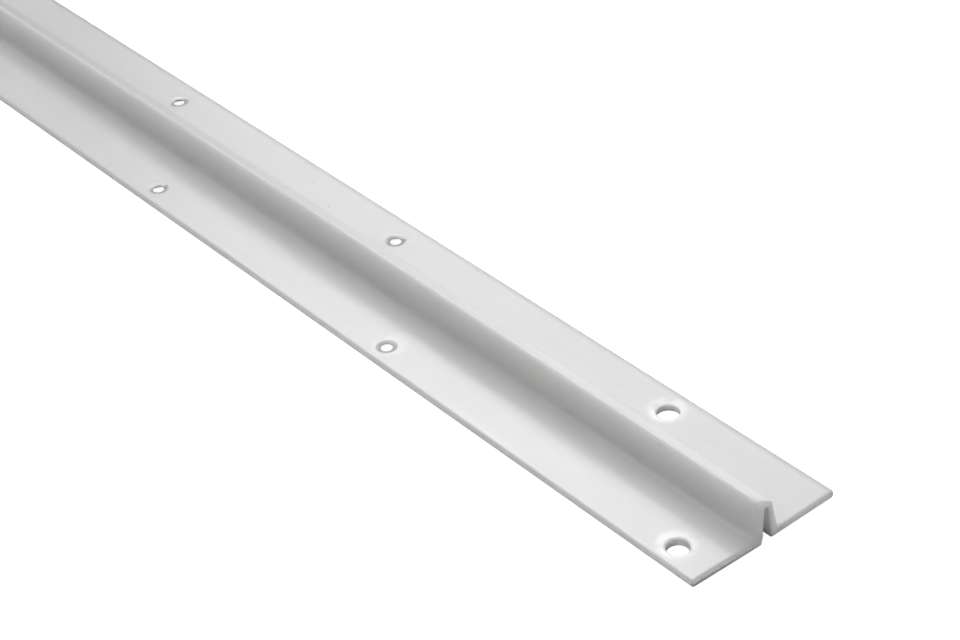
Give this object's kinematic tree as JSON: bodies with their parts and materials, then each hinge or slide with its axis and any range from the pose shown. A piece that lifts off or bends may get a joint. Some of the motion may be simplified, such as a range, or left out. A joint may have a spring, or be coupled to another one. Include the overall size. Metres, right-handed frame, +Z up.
{
  "type": "plaster stop bead",
  "caption": "Straight white plastic bead with two flat holed flanges and a hollow folded rib between them, whose upright edge stops the plaster.",
  "frame": {"origin": "middle of the bead's length and width, on the plane of its underside", "axes": "+X along the bead towards the end nearer its first holes, +Y across it from the flange beside the upright leg to the other flange, +Z up from the underside"},
  "size_m": [3, 0.0426, 0.0124],
  "materials": {
    "white_plastic": "glossy, slightly wavy moulded surface"
  },
  "bodies": {
    "root": {"stop_bead": "white_plastic"}
  },
  "joints": []
}
